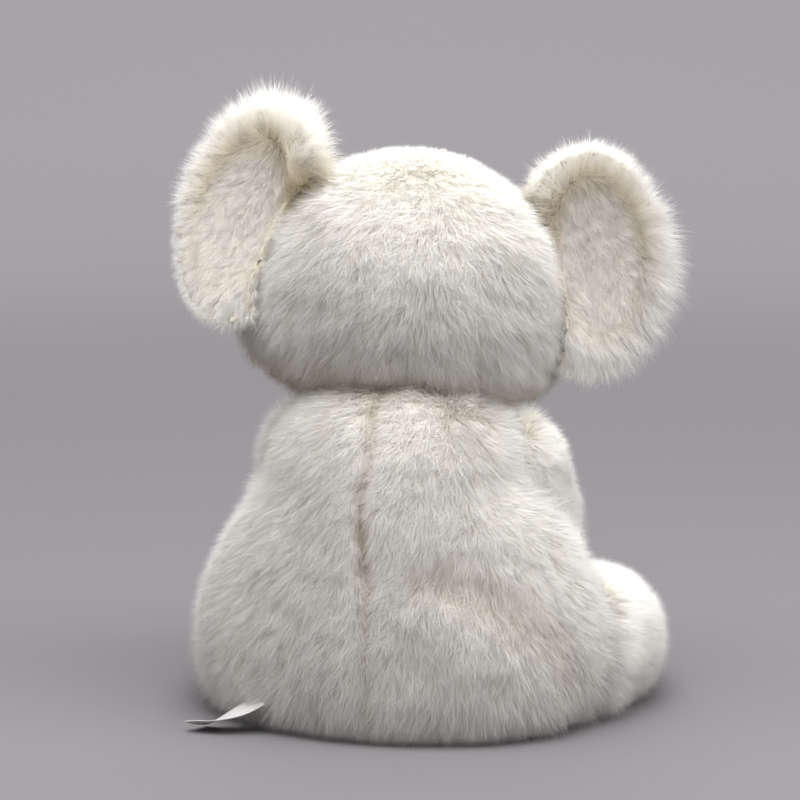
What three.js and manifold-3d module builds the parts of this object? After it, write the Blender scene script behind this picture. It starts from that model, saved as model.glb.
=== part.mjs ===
// Seated plush koala in cream fur fabric, about 243 mm tall to the ear tips with its pile brushed
// down. Millimetres, +Z up, facing -Y, origin on the floor under the middle of the seat. Every sewn
// panel, wad of filling and fitting is a solid of its own. Limbs, ears and head bend at their seams,
// so each is cut clear of what it presses on through its whole swing.
import * as THREE from 'three';
import { mergeVertices } from 'three/addons/utils/BufferGeometryUtils.js';
import Module from 'manifold-3d';

const wasm = await Module();
wasm.setup();

// Cloth, seams and running clearance
const pileFabric = 6; // fur fabric with its pile brushed down
const shortPile = 3.6; // clipped fabric of ear backs and soles
const backing = 1.4; // knitted ground under the pile
const seamGap = 0.3;
const seatGap = 0.3;
const overrun = 5; // how far a cutting body passes what it cuts
const facetTolerance = 0.09; // facets that differ by less are merged

// Body, from the floor to the top of the domed neck seat
const bodyHeight = 146;
const bodyHalfWidth = 83;
const bodyBackDepth = 58;
const bodyBellyDepth = 62;
const domeRadius = 52; // round top that the head turns and nods on
const sideSeamDepth = 10; // side seams lie this far in front of the middle
const baseSeamHeight = 14;
const pelletBagHeight = 30;
const pelletBagHalfWidth = 46;
const neckRadius = 17;
const neckNodGap = 1.2; // room round the wad in the head
const neckSink = 44; // neck wad's length below the dome's top
const neckRise = 11; // and above it

// Head, measured from its own middle
const headRise = 35; // middle of the head above the top of the body
const headForward = 12;
const headAside = 2; // to the toy's right
const headHalfWidth = 57.5;
const headCrown = 45;
const headJaw = 58;
const headBackDepth = 52;
const headFaceDepth = 50;
const cheekSwell = 16; // how far the cheeks stand out beside the jaw
const cheekSpread = 22;
const cheekDrop = 37;
const cheekForward = 14;
const muzzleHalfWidth = 29;
const muzzleHalfHeight = 23;
const muzzleReach = 67;
const muzzleDrop = 18;
const headYaw = 24; // degrees, turned to the toy's left in the rest pose
const headRoll = 7.8;
const eyeDiameter = 13;
const eyeDome = 6.5;
const eyeSpacing = 50;
const eyeRise = 7;
const noseWidth = 23;
const noseHeight = 27;
const noseDepth = 11;
const noseDrop = 9; // middle of the nose below the head's middle
const noseTilt = 20; // degrees that it leans back
const shankDiameter = 4;
const shankLength = 13;
const shankRootShare = 0.1; // how far up its button a shank is rooted
const washerDiameter = 14;
const washerThickness = 2;
const mouthThread = 1.6;
const mouthWidth = 20;
const mouthSag = 4;
const mouthDrop = 27;

// Ears
const earHalfWidth = 31;
const earHalfHeight = 46;
const earThickness = 19;
const earRim = 7;
const earCup = 6; // how far the rim stands back from the middle
const earRimPower = 4; // how late a pad thins towards its rim
const earDipShare = 0.5; // hollow in the middle of the short-pile back
const earReach = 68; // middle of the ear from the head's midline
const earRise = 10;
const earSetBack = 1;
const earLean = 7; // degrees
const earSweepLeft = 36; // degrees that the outer edge stands forward, each ear as it was sewn
const earSweepRight = 6;
const earHingeReach = 53;
const earHingeLean = 19; // degrees, the root seam leans with the side of the head

// Arms and legs
const limbRootForward = 14; // shoulders and hips in front of the middle
const shoulderSink = 9; // its middle inside the dome's widest round
const shoulderRise = 8; // and above the dome's middle
const armForward = 52; // shoulder to paw along the depth
const armDrop = 28;
const armInset = 6;
const elbowForwardShare = 0.48;
const elbowDropShare = 0.75;
const shoulderRadius = 21;
const pawRadius = 16.5;
const hipSink = 25; // its middle inside the body's widest level
const legForward = 64;
const legSplay = 10;
const kneeShare = 0.45;
const thighRadius = 31;
const footRadius = 25;
const legSink = 6; // how far the floor flattens a leg's underside
const soleThickness = 3;
const soleHalfWidth = 15;
const soleHalfHeight = 18;
const soleDepthShare = 0.62; // where the sole cuts the round of the foot

// Care label, a folded satin ribbon
const labelWidth = 12;
const labelLength = 22;
const labelThickness = 0.8;
const labelLift = 0.4; // gap between its tip and the floor
const labelSeamAngle = 31; // degrees round from the middle of the back
const labelStandOff = 8;
const labelTilt = 35; // degrees that its root leans down
const labelSagShare = 0.35; // height of its middle between tip and root

// Joint travel in degrees from the rest pose
const neckTurn = [-24, 15];
const headNod = [-10, 4];
const armSwing = [-5, 18];
const legLift = [0, 18];
const earFold = [-22, 22];
const sweepStep = 7;

// Facets
const bodySegments = 32;
const headSegments = 24;
const limbSegments = 12;
const limbRings = 5;
const capRings = 3;
const earSegments = 20;
const earRings = 4;
const seatSegments = 20;
const neckSegments = 20;
const neckArcSteps = 4;
const roundSegments = 12;
const headRows = 12;
const muzzleRows = 8;
const muzzleSegments = 20;
const mouthSteps = 8;
const labelSteps = 8;

const radians = THREE.MathUtils.degToRad;
const vector = (x, y, z) => new THREE.Vector3(x, y, z);
const mirrorX = new THREE.Matrix4().makeScale(-1, 1, 1);

// Mesh geometry and manifold solids
function closedGeometry(points, triangles) {
  const geometry = new THREE.BufferGeometry();
  geometry.setAttribute('position', new THREE.Float32BufferAttribute(points.flatMap((p) => p.toArray()), 3));
  geometry.setIndex(triangles.flat());
  return geometry;
}

function welded(geometry) {
  const bare = geometry.clone();
  bare.deleteAttribute('normal');
  bare.deleteAttribute('uv');
  return mergeVertices(bare);
}

function solidOf(geometry) {
  const bare = welded(geometry);
  return new wasm.Manifold(new wasm.Mesh({
    numProp: 3,
    vertProperties: new Float32Array(bare.getAttribute('position').array),
    triVerts: new Uint32Array(bare.getIndex().array),
  }));
}

function geometryOf(solid) {
  const mesh = mainBody(solid).getMesh();
  const geometry = new THREE.BufferGeometry();
  geometry.setAttribute('position', new THREE.Float32BufferAttribute(mesh.vertProperties, 3));
  geometry.setIndex(Array.from(mesh.triVerts));
  return geometry;
}

// The largest body that a cut leaves, without crumbs of cloth beside it
function mainBody(solid) {
  const bodies = solid.simplify(facetTolerance).decompose();
  return bodies.reduce((best, body) => (body.volume() > best.volume() ? body : best));
}

function united(solids) {
  return solids.reduce((sum, solid) => sum.add(solid)).simplify(facetTolerance);
}

// A loft through rings of equal point count, closed by a point at each end
function loft(rings, startPoint, endPoint) {
  const count = rings[0].length;
  const points = [...rings.flat(), startPoint, endPoint];
  const start = points.length - 2;
  const triangles = [];
  for (let i = 0; i < count; i += 1) {
    const next = (i + 1) % count;
    triangles.push([start, next, i]);
    for (let r = 0; r + 1 < rings.length; r += 1) {
      const low = r * count;
      const high = low + count;
      triangles.push([low + i, low + next, high + next], [low + i, high + next, high + i]);
    }
    const last = (rings.length - 1) * count;
    triangles.push([start + 1, last + i, last + next]);
  }
  return closedGeometry(points, triangles);
}

// The same closed form with its whole surface moved in by a thickness, or out where it is negative
function inset(geometry, thickness) {
  const form = welded(geometry);
  form.computeVertexNormals();
  const position = form.getAttribute('position');
  const normal = form.getAttribute('normal');
  for (let i = 0; i < position.count; i += 1) {
    const point = vector().fromBufferAttribute(position, i);
    point.addScaledVector(vector().fromBufferAttribute(normal, i), -thickness);
    position.setXYZ(i, point.x, point.y, point.z);
  }
  return form;
}

function about(pivot, axis, degrees) {
  const turn = new THREE.Matrix4().makeRotationAxis(axis, radians(degrees));
  const back = new THREE.Matrix4().makeTranslation(-pivot.x, -pivot.y, -pivot.z);
  return new THREE.Matrix4().makeTranslation(pivot.x, pivot.y, pivot.z).multiply(turn).multiply(back);
}

function stepsOf(range) {
  const count = Math.max(1, Math.ceil((range[1] - range[0]) / sweepStep));
  return Array.from({ length: count + 1 }, (_, i) => range[0] + ((range[1] - range[0]) * i) / count);
}

// What a fixed form sweeps, seen from a piece that swings about an axis
function swept(geometry, pivot, axis, range) {
  const turns = [...new Set([...stepsOf(range), 0])];
  return united(turns.map((turn) => solidOf(geometry.clone().applyMatrix4(about(pivot, axis, -turn)))));
}

// Body form: stations up the pear, then the dome
const domeCentre = vector(0, 0, bodyHeight - domeRadius);
const stationShares = [
  // height, width, back, belly
  [0, 0.74, 0.8, 0.8],
  [0.05, 0.86, 0.89, 0.9],
  [0.14, 0.955, 0.96, 0.97],
  [0.28, 1, 1, 1],
  [0.46, 0.99, 1, 1],
  [0.62, 0.93, 0.975, 0.97],
  [0.76, 0.845, 0.955, 0.94],
  [0.88, 0.755, 0.93, 0.895],
];
const domeAngles = [86, 72, 57, 42, 27, 13];

function ovalRing(halfWidth, back, front, height, segments) {
  return Array.from({ length: segments }, (_, i) => {
    const angle = (i / segments) * Math.PI * 2;
    const depth = Math.sin(angle) > 0 ? back : front;
    return vector(halfWidth * Math.cos(angle), depth * Math.sin(angle), height);
  });
}

function bodyGeometry() {
  const rings = stationShares.map(([height, width, back, belly]) => ovalRing(
    width * bodyHalfWidth,
    back * bodyBackDepth,
    belly * bodyBellyDepth,
    height * domeCentre.z,
    bodySegments,
  ));
  for (const angle of domeAngles) {
    const radius = domeRadius * Math.sin(radians(angle));
    const height = domeCentre.z + domeRadius * Math.cos(radians(angle));
    rings.push(ovalRing(radius, radius, radius, height, bodySegments));
  }
  return loft(rings, vector(0, 0, 0), vector(0, 0, bodyHeight));
}

// The body's surface at a height, in a direction taken as a share of each half axis
function bodyEdge(direction, height) {
  const share = height / domeCentre.z;
  const upper = stationShares.findIndex(([level]) => level > share);
  const [low, high] = [stationShares[upper - 1], stationShares[upper]];
  const along = (share - low[0]) / (high[0] - low[0]);
  const [, width, back] = low.map((value, i) => THREE.MathUtils.lerp(value, high[i], along));
  return vector(width * bodyHalfWidth * direction.x, back * bodyBackDepth * direction.y, height);
}

// Head form: an egg with full cheeks, joined by the muzzle's own egg
function eggGeometry(centre, halfWidth, back, front, crown, jaw, segments, rows, jowlShare = 1) {
  const rings = [];
  for (let row = 1; row < rows; row += 1) {
    const angle = Math.PI * (1 - row / rows);
    const reach = Math.sin(angle) ** (angle > Math.PI / 2 ? jowlShare : 1);
    const height = Math.cos(angle) * (angle < Math.PI / 2 ? crown : jaw);
    const ring = ovalRing(halfWidth * reach, back * reach, front * reach, height, segments);
    rings.push(ring.map((point) => point.add(centre)));
  }
  const low = centre.clone().add(vector(0, 0, -jaw));
  const high = centre.clone().add(vector(0, 0, crown));
  return loft(rings, low, high);
}

const muzzleSeamShare = 0.93; // depth of the seam round the muzzle, as a share of the face's
const headEggDropShare = 0.2; // widest level below the head's middle, as a share of the crown
const headJowlShare = 0.68; // power of the lower half's curve, fuller as it falls
const headEggMiddle = vector(0, 0, -headEggDropShare * headCrown);

function headEgg() {
  const egg = eggGeometry(
    headEggMiddle,
    headHalfWidth,
    headBackDepth,
    headFaceDepth,
    headCrown - headEggMiddle.z,
    headJaw + headEggMiddle.z,
    headSegments,
    headRows,
    headJowlShare,
  );
  return withCheeks(egg);
}

function withCheeks(geometry) {
  const position = geometry.getAttribute('position');
  for (let i = 0; i < position.count; i += 1) {
    const x = position.getX(i);
    const up = (position.getZ(i) + cheekDrop) / cheekSpread;
    const deep = (position.getY(i) + cheekForward) / cheekSpread;
    position.setX(i, x + cheekSwell * (x / headHalfWidth) * Math.exp(-up * up - deep * deep));
  }
  return geometry;
}

function muzzleEgg() {
  const depth = headFaceDepth / 2;
  const centre = vector(0, depth - muzzleReach, -muzzleDrop);
  const [width, height] = [muzzleHalfWidth, muzzleHalfHeight];
  return eggGeometry(centre, width, depth, depth, height, height, muzzleSegments, muzzleRows);
}

// Depth of the face in front of the head's middle, at a place above its widest level
function faceDepthAt(x, z) {
  const across = x / headHalfWidth;
  const up = (z - headEggMiddle.z) / (headCrown - headEggMiddle.z);
  return -headFaceDepth * Math.sqrt(1 - across * across - up * up);
}

function muzzleDepthAt(x, z) {
  const across = x / muzzleHalfWidth;
  const up = (z + muzzleDrop) / muzzleHalfHeight;
  const depth = headFaceDepth / 2;
  return depth - muzzleReach - depth * Math.sqrt(1 - across * across - up * up);
}

// Limb form: a tube of changing radius along a curve, with round ends
function limbGeometry(path, startRadius, endRadius, startReach, endReach) {
  const curve = new THREE.CatmullRomCurve3(path);
  const side = vector(1, 0, 0);
  const ringAt = (centre, along, radius) => {
    const up = vector().crossVectors(along, side).normalize();
    return Array.from({ length: limbSegments }, (_, i) => {
      const angle = (i / limbSegments) * Math.PI * 2;
      return centre.clone()
        .addScaledVector(side, radius * Math.cos(angle))
        .addScaledVector(up, radius * Math.sin(angle));
    });
  };
  const rings = [];
  for (let i = 1; i <= capRings; i += 1) {
    const angle = (i / capRings) * (Math.PI / 2);
    const along = curve.getTangent(0);
    const centre = path[0].clone().addScaledVector(along, -startReach * Math.cos(angle));
    rings.push(ringAt(centre, along, startRadius * Math.sin(angle)));
  }
  for (let i = 1; i < limbRings; i += 1) {
    const share = i / limbRings;
    const radius = THREE.MathUtils.lerp(startRadius, endRadius, share);
    rings.push(ringAt(curve.getPoint(share), curve.getTangent(share), radius));
  }
  const tip = path[path.length - 1];
  const out = curve.getTangent(1);
  for (let i = 0; i < capRings; i += 1) {
    const angle = (i / capRings) * (Math.PI / 2);
    const centre = tip.clone().addScaledVector(out, endReach * Math.sin(angle));
    rings.push(ringAt(centre, out, endRadius * Math.cos(angle)));
  }
  const startPoint = path[0].clone().addScaledVector(curve.getTangent(0), -startReach);
  return loft(rings, startPoint, tip.clone().addScaledVector(out, endReach));
}

// The floor presses a soft form flat
function flattened(geometry) {
  const position = geometry.getAttribute('position');
  for (let i = 0; i < position.count; i += 1) {
    position.setZ(i, Math.max(position.getZ(i), 0));
  }
  return geometry;
}

// Materials
function cloth(colour, roughness = 0.95) {
  return new THREE.MeshStandardMaterial({ color: colour, roughness, metalness: 0 });
}

const cream = cloth('#f0ebdc');
const tan = cloth('#d8c3a0');
const fibre = cloth('#fbfbf8');
const pelletCloth = cloth('#d9d6cc');
const satin = cloth('#f4f4f2', 0.4);
const threadDark = cloth('#3b2d26', 0.8);
const eyePlastic = new THREE.MeshStandardMaterial({ color: '#120d0a', roughness: 0.12, metalness: 0 });
const nosePlastic = new THREE.MeshStandardMaterial({ color: '#231d1b', roughness: 0.45, metalness: 0 });
const washerPlastic = new THREE.MeshStandardMaterial({ color: '#e8e8e4', roughness: 0.5, metalness: 0 });

function named(name, solidOrGeometry, material) {
  const geometry = solidOrGeometry.isBufferGeometry ? solidOrGeometry : geometryOf(solidOrGeometry);
  const mesh = new THREE.Mesh(geometry, material);
  mesh.name = name;
  return mesh;
}

// A turned solid about +Z from a profile of radius and height
function turned(profile, segments = roundSegments) {
  return solidOf(new THREE.LatheGeometry(profile.map(([r, h]) => new THREE.Vector2(r, h)), segments)
    .applyMatrix4(new THREE.Matrix4().makeRotationX(Math.PI / 2)));
}

// A closed plate of a given outline, standing on z = 0
function plate(halfWidth, halfHeight, thickness) {
  const outline = new THREE.Shape();
  outline.absellipse(0, 0, halfWidth, halfHeight, 0, Math.PI * 2);
  const curveSegments = roundSegments / 2;
  return new THREE.ExtrudeGeometry(outline, { depth: thickness, bevelEnabled: false, curveSegments });
}

// Body: four sewn panels round the filling, with a bag of pellets in the seat
const bodyForm = bodyGeometry();
const bodyClear = inset(bodyForm, -seatGap);

// Neck wad: a round plug whose domed top follows the sphere that the head nods on
const capRadius = domeRadius + neckRise;

function neckProfile(gap) {
  const foot = domeRadius - neckSink - gap;
  const reach = capRadius + gap;
  const radius = neckRadius + gap;
  const profile = [[0, foot], [radius, foot]];
  const rim = Math.asin(radius / reach);
  for (let i = 0; i <= neckArcSteps; i += 1) {
    const angle = rim * (1 - i / neckArcSteps);
    profile.push([reach * Math.sin(angle), reach * Math.cos(angle)]);
  }
  return profile;
}

function neckSolid(gap) {
  return turned(neckProfile(gap), neckSegments).translate(domeCentre.toArray());
}

const bagSagShare = 0.2; // height of the bag's widest level

function pelletBag(gap) {
  const sag = pelletBagHeight * bagSagShare;
  const middle = vector(0, 0, pileFabric + seatGap + sag);
  const halfDepth = pelletBagHalfWidth * (bodyBackDepth / bodyHalfWidth) + gap;
  const halfWidth = pelletBagHalfWidth + gap;
  const crown = pelletBagHeight - sag + gap;
  return eggGeometry(middle, halfWidth, halfDepth, halfDepth, crown, sag + gap, limbSegments, muzzleRows);
}

// Room for the wad's corners to turn in a hole that has flats
const neckTurnGap = seatGap + neckRadius * (1 / Math.cos(Math.PI / neckSegments) - 1);

function bodyPieces() {
  const neckHole = neckSolid(neckTurnGap);
  const skin = solidOf(bodyForm).subtract(solidOf(inset(bodyForm, pileFabric))).subtract(neckHole);
  const half = seamGap / 2;
  const walls = skin.trimByPlane([0, 0, 1], baseSeamHeight + half);
  const back = walls.trimByPlane([0, 1, 0], half - sideSeamDepth);
  const bagHole = solidOf(pelletBag(seatGap));
  const bagMouth = solidOf(pelletBag(seatGap).applyMatrix4(
    new THREE.Matrix4().makeTranslation(0, 0, -pelletBagHeight * bagSagShare),
  ));
  const filling = solidOf(inset(bodyForm, pileFabric + seatGap)).subtract(neckHole).subtract(bagHole);
  return [
    named('back_panel_left', back.trimByPlane([1, 0, 0], half), cream),
    named('back_panel_right', back.trimByPlane([-1, 0, 0], half), cream),
    named('belly_panel', walls.trimByPlane([0, -1, 0], sideSeamDepth + half), cream),
    named('base_panel', skin.trimByPlane([0, 0, -1], half - baseSeamHeight), cream),
    named('body_filling', filling.subtract(bagMouth), fibre),
    named('pellet_bag', pelletBag(0), pelletCloth),
  ];
}

// Head, built in its own frame and set on the dome
const headPlace = new THREE.Matrix4()
  .makeTranslation(-headAside, -headForward, bodyHeight + headRise)
  .multiply(new THREE.Matrix4().makeRotationZ(radians(headYaw)))
  .multiply(new THREE.Matrix4().makeRotationY(radians(-headRoll)));
const toHead = headPlace.clone().invert();
const nodAxis = vector(1, 0, 0).applyAxisAngle(vector(0, 0, 1), radians(headYaw));

// A ball about the point that the head turns and nods on, so the seat that it cuts fits at every
// angle. It is grown by what the flats of both facetted rounds take.
function domeBall(radius) {
  const flats = 2 * radius * (1 - Math.cos(Math.PI / seatSegments));
  const ball = new THREE.SphereGeometry(radius + flats, seatSegments, seatSegments / 2);
  const upright = new THREE.Matrix4().makeTranslation(...domeCentre.toArray())
    .multiply(new THREE.Matrix4().makeRotationX(Math.PI / 2));
  return solidOf(ball.applyMatrix4(toHead.clone().multiply(upright)));
}

// Room for the wad as the head nods over it, closed by one ball above its domed top
function neckClearance() {
  const plug = rod(2 * (neckRadius + neckNodGap), domeRadius - neckSink, capRadius + overrun)
    .translate(domeCentre.toArray());
  const nods = stepsOf(headNod).map((nod) => plug.transform(
    toHead.clone().multiply(about(domeCentre, nodAxis, -nod)).elements,
  ));
  return united(nods).intersect(domeBall(capRadius + seatGap));
}

// Fittings held by a shank and a washer behind the cloth, along the head's local -Y
function fittingPlace(x, depth, z, outward, upward) {
  return new THREE.Matrix4()
    .makeTranslation(x, depth, z)
    .multiply(new THREE.Matrix4().makeRotationZ(outward))
    .multiply(new THREE.Matrix4().makeRotationX(Math.PI / 2 - upward));
}

const eyeDepth = faceDepthAt(eyeSpacing / 2, eyeRise);
const eyeTilt = Math.atan2(eyeSpacing / 2, headHalfWidth);
const eyeLift = Math.atan2(eyeRise - headEggMiddle.z, headFaceDepth);
const noseFace = muzzleDepthAt(0, -noseDrop);
const pileAbove = pileFabric - backing;

const buttonRowAngles = [0, 30, 55, 75]; // degrees up the dome

// Rounded button standing on z = 0, grown all round by a gap
function button(halfWidth, halfHeight, dome, gap) {
  const ringAt = (spread, height) => {
    const tall = halfHeight * spread + gap;
    return ovalRing(halfWidth * spread + gap, tall, tall, height, roundSegments);
  };
  const rings = buttonRowAngles.map((row) => ringAt(Math.cos(radians(row)), dome * Math.sin(radians(row))));
  if (gap > 0) {
    rings.unshift(ringAt(1, -gap));
  }
  return solidOf(loft(rings, vector(0, 0, -gap), vector(0, 0, dome + gap)));
}

function rod(diameter, bottom, top) {
  const radius = diameter / 2;
  return turned([[0, bottom], [radius, bottom], [radius, top], [0, top]]);
}

function ring(outer, inner, bottom, top) {
  const [wide, narrow] = [outer / 2, inner / 2];
  return turned([[narrow, bottom], [wide, bottom], [wide, top], [narrow, top], [narrow, bottom]]);
}

// One fitting's solids in its own frame: z = 0 is the face of the pile, the head lies below
function fitting(halfWidth, halfHeight, dome) {
  const foot = seatGap - pileAbove;
  const overlap = dome * shankRootShare;
  const washerTop = -pileFabric - seatGap;
  const hollow = washerDiameter + 2 * seatGap;
  return {
    front: button(halfWidth, halfHeight, dome, 0).translate([0, 0, foot])
      .add(rod(shankDiameter, foot - shankLength, foot + overlap)),
    washer: ring(washerDiameter, shankDiameter + 2 * seatGap, washerTop - washerThickness, washerTop),
    recess: button(halfWidth, halfHeight, dome + overrun, seatGap).translate([0, 0, foot]),
    shankHole: rod(shankDiameter + 2 * seatGap, foot - shankLength - seatGap, foot + overlap),
    pocket: rod(hollow, washerTop - washerThickness - seatGap, washerTop + seatGap),
  };
}

function placedFitting(parts, place) {
  const moved = Object.entries(parts).map(([key, solid]) => [key, solid.transform(place.elements)]);
  return Object.fromEntries(moved);
}

function mouthStitch() {
  const points = Array.from({ length: mouthSteps + 1 }, (_, i) => {
    const share = (2 * i) / mouthSteps - 1;
    const x = (share * mouthWidth) / 2;
    const z = -mouthDrop - mouthSag * (1 - share * share) + mouthSag;
    return vector(x, muzzleDepthAt(x, z) - mouthThread / 2 - seatGap, z);
  });
  const section = new THREE.Shape();
  section.absarc(0, 0, mouthThread / 2, 0, Math.PI * 2);
  return new THREE.ExtrudeGeometry(section, {
    steps: mouthSteps,
    curveSegments: roundSegments / 4,
    bevelEnabled: false,
    extrudePath: new THREE.CatmullRomCurve3(points),
  });
}

// Ear: two cupped pads sewn round the rim, in a frame whose z is the ear's thickness
function earPad(side, thickness, rim, dip) {
  const rings = [];
  const height = (share, up) => {
    const late = share ** earRimPower;
    const hollowed = thickness * (1 - dip * (1 - share * share));
    const swell = up ? hollowed * (1 - late) + rim * late : seamGap / 2;
    return side * swell - earCup * share * share;
  };
  const point = (share, i, up) => {
    const angle = (i / earSegments) * Math.PI * 2;
    const [across, along] = [Math.cos(angle) * share, Math.sin(angle) * share];
    return vector(earHalfWidth * across, earHalfHeight * along, height(share, up));
  };
  const ringAt = (share, up) => Array.from({ length: earSegments }, (_, i) => point(share, i, up));
  for (let r = 1; r <= earRings; r += 1) {
    rings.push(ringAt(r / earRings, side < 0));
  }
  for (let r = earRings; r >= 1; r -= 1) {
    rings.push(ringAt(r / earRings, side > 0));
  }
  return loft(rings, vector(0, 0, height(0, side < 0)), vector(0, 0, height(0, side > 0)));
}

// The ear's frame in the head: its x runs outwards, its y up, its z to the front. It is swept
// forward about its root.
const earHingeAxis = vector(-Math.sin(radians(earHingeLean)), 0, Math.cos(radians(earHingeLean)));
const earHingePoint = vector(earHingeReach, earSetBack, earRise);

function earPlace(sweep) {
  return about(earHingePoint, earHingeAxis, -sweep)
    .multiply(new THREE.Matrix4().makeTranslation(earReach, earSetBack, earRise))
    .multiply(new THREE.Matrix4().makeRotationY(radians(-earLean)))
    .multiply(new THREE.Matrix4().makeRotationX(Math.PI / 2));
}

function earPieces(side, sweep, headSolid) {
  const name = side > 0 ? 'left' : 'right';
  const clear = united(stepsOf(earFold).map((fold) => headSolid.transform(
    about(earHingePoint, earHingeAxis, -fold).elements,
  )));
  const backThickness = earThickness * (shortPile / (shortPile + pileFabric));
  const frontThickness = earThickness - backThickness;
  const pads = [
    ['back', earPad(-1, backThickness, (earRim * backThickness) / earThickness, earDipShare), tan],
    ['front', earPad(1, frontThickness, (earRim * frontThickness) / earThickness, 0), cream],
  ];
  return pads.map(([face, pad, material]) => {
    const solid = solidOf(pad.applyMatrix4(earPlace(sweep))).subtract(clear);
    const placed = side > 0 ? solid : solid.transform(mirrorX.elements);
    return named(`ear_${name}_${face}`, placed, material);
  });
}

function headPieces() {
  const egg = headEgg();
  const muzzle = muzzleEgg();
  const bodyCut = domeBall(domeRadius + seatGap);
  const neckCut = neckClearance();
  const outer = solidOf(egg).add(solidOf(muzzle));
  const inner = solidOf(inset(egg, pileFabric)).add(solidOf(inset(muzzle, pileFabric)));
  const core = solidOf(inset(egg, pileFabric + seatGap)).add(solidOf(inset(muzzle, pileFabric + seatGap)));
  const eyeParts = fitting(eyeDiameter / 2, eyeDiameter / 2, eyeDome);
  const eyes = [1, -1].map((side) => placedFitting(
    eyeParts,
    fittingPlace(side * (eyeSpacing / 2), eyeDepth, eyeRise, side * eyeTilt, eyeLift),
  ));
  const nose = placedFitting(
    fitting(noseWidth / 2, noseHeight / 2, noseDepth),
    fittingPlace(0, noseFace, -noseDrop, 0, radians(noseTilt)),
  );
  const fittings = [...eyes, nose];
  const holes = united(fittings.flatMap((parts) => [parts.shankHole, parts.pocket]));
  const recesses = united(fittings.map((parts) => parts.recess));
  const skin = outer.subtract(inner).subtract(bodyCut).subtract(neckCut).subtract(recesses).subtract(holes);
  const filling = core.subtract(bodyCut).subtract(neckCut).subtract(holes).subtract(nose.recess);
  const half = seamGap / 2;
  const rear = skin.trimByPlane([0, 1, 0], half - sideSeamDepth / 2);
  const front = skin.trimByPlane([0, -1, 0], sideSeamDepth / 2 + half);
  const muzzleSeam = headFaceDepth * muzzleSeamShare;
  const clearOfHead = solidOf(inset(egg, -seatGap));
  return [
    named('head_back_left', rear.trimByPlane([1, 0, 0], half), cream),
    named('head_back_right', rear.trimByPlane([-1, 0, 0], half), cream),
    named('face_panel', front.trimByPlane([0, 1, 0], half - muzzleSeam), cream),
    named('muzzle_panel', front.trimByPlane([0, -1, 0], muzzleSeam + half), cream),
    named('head_filling', filling, fibre),
    named('eye_left', eyes[0].front, eyePlastic),
    named('eye_right', eyes[1].front, eyePlastic),
    named('eye_washer_left', eyes[0].washer, washerPlastic),
    named('eye_washer_right', eyes[1].washer, washerPlastic),
    named('nose', nose.front, nosePlastic),
    named('nose_washer', nose.washer, washerPlastic),
    named('mouth_stitch', mouthStitch(), threadDark),
    ...earPieces(1, earSweepLeft, clearOfHead),
    ...earPieces(-1, earSweepRight, clearOfHead),
  ];
}

// A limb's upper and lower panels and its filling, cut clear of the body
function limbPieces(side, label, form, pivot, range, seam, sole) {
  const name = side > 0 ? 'left' : 'right';
  const clear = swept(bodyClear, pivot, swingAxis, range);
  let skin = solidOf(form).subtract(solidOf(inset(form, pileFabric))).subtract(clear);
  let filling = solidOf(inset(form, pileFabric + seatGap)).subtract(clear);
  const pieces = [];
  if (sole) {
    skin = skin.trimByPlane([0, 1, 0], sole.depth + seatGap);
    filling = filling.trimByPlane([0, 1, 0], sole.depth + seatGap);
    pieces.push([`${label}_${name}_sole`, solidOf(sole.geometry), tan]);
  }
  const offset = seam.normal.dot(seam.point);
  const up = skin.trimByPlane(seam.normal.toArray(), offset + seamGap / 2);
  const down = skin.trimByPlane(seam.normal.clone().negate().toArray(), seamGap / 2 - offset);
  pieces.push(
    [`${label}_${name}_upper`, up, cream],
    [`${label}_${name}_lower`, down, cream],
    [`${label}_${name}_filling`, filling, fibre],
  );
  return pieces.map(([piece, solid, material]) => named(
    piece,
    side > 0 ? mainBody(solid) : mainBody(solid).transform(mirrorX.elements),
    material,
  ));
}

const swingAxis = vector(-1, 0, 0); // a positive turn lifts the limb forwards
const shoulder = vector(domeRadius - shoulderSink, -limbRootForward, domeCentre.z + shoulderRise);
const armPath = [
  shoulder,
  shoulder.clone().add(vector(0, -armForward * elbowForwardShare, -armDrop * elbowDropShare)),
  shoulder.clone().add(vector(-armInset, -armForward, -armDrop)),
];

function armPieces(side) {
  const form = limbGeometry(armPath, shoulderRadius, pawRadius, shoulderRadius, pawRadius);
  const along = vector().subVectors(armPath[2], shoulder);
  const normal = vector().crossVectors(along, vector(1, 0, 0)).normalize();
  return limbPieces(side, 'arm', form, shoulder, armSwing, { normal, point: shoulder });
}

const hip = vector(bodyHalfWidth - hipSink, -limbRootForward, thighRadius - legSink);
const ankle = vector(hip.x + legSplay / 2, hip.y - legForward, footRadius - legSink / 2);
const legPath = [hip, vector(hip.x + legSplay, hip.y - legForward * kneeShare, hip.z), ankle];

function legPieces(side) {
  const form = flattened(limbGeometry(legPath, thighRadius, footRadius, thighRadius, footRadius));
  const depth = ankle.y - footRadius * soleDepthShare;
  const place = new THREE.Matrix4()
    .makeTranslation(ankle.x, depth, ankle.z)
    .multiply(new THREE.Matrix4().makeRotationX(Math.PI / 2));
  const pad = plate(soleHalfWidth, soleHalfHeight, soleThickness).applyMatrix4(place);
  const sole = { depth, geometry: pad };
  return limbPieces(side, 'leg', form, hip, legLift, { normal: vector(0, 0, 1), point: hip }, sole);
}

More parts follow.
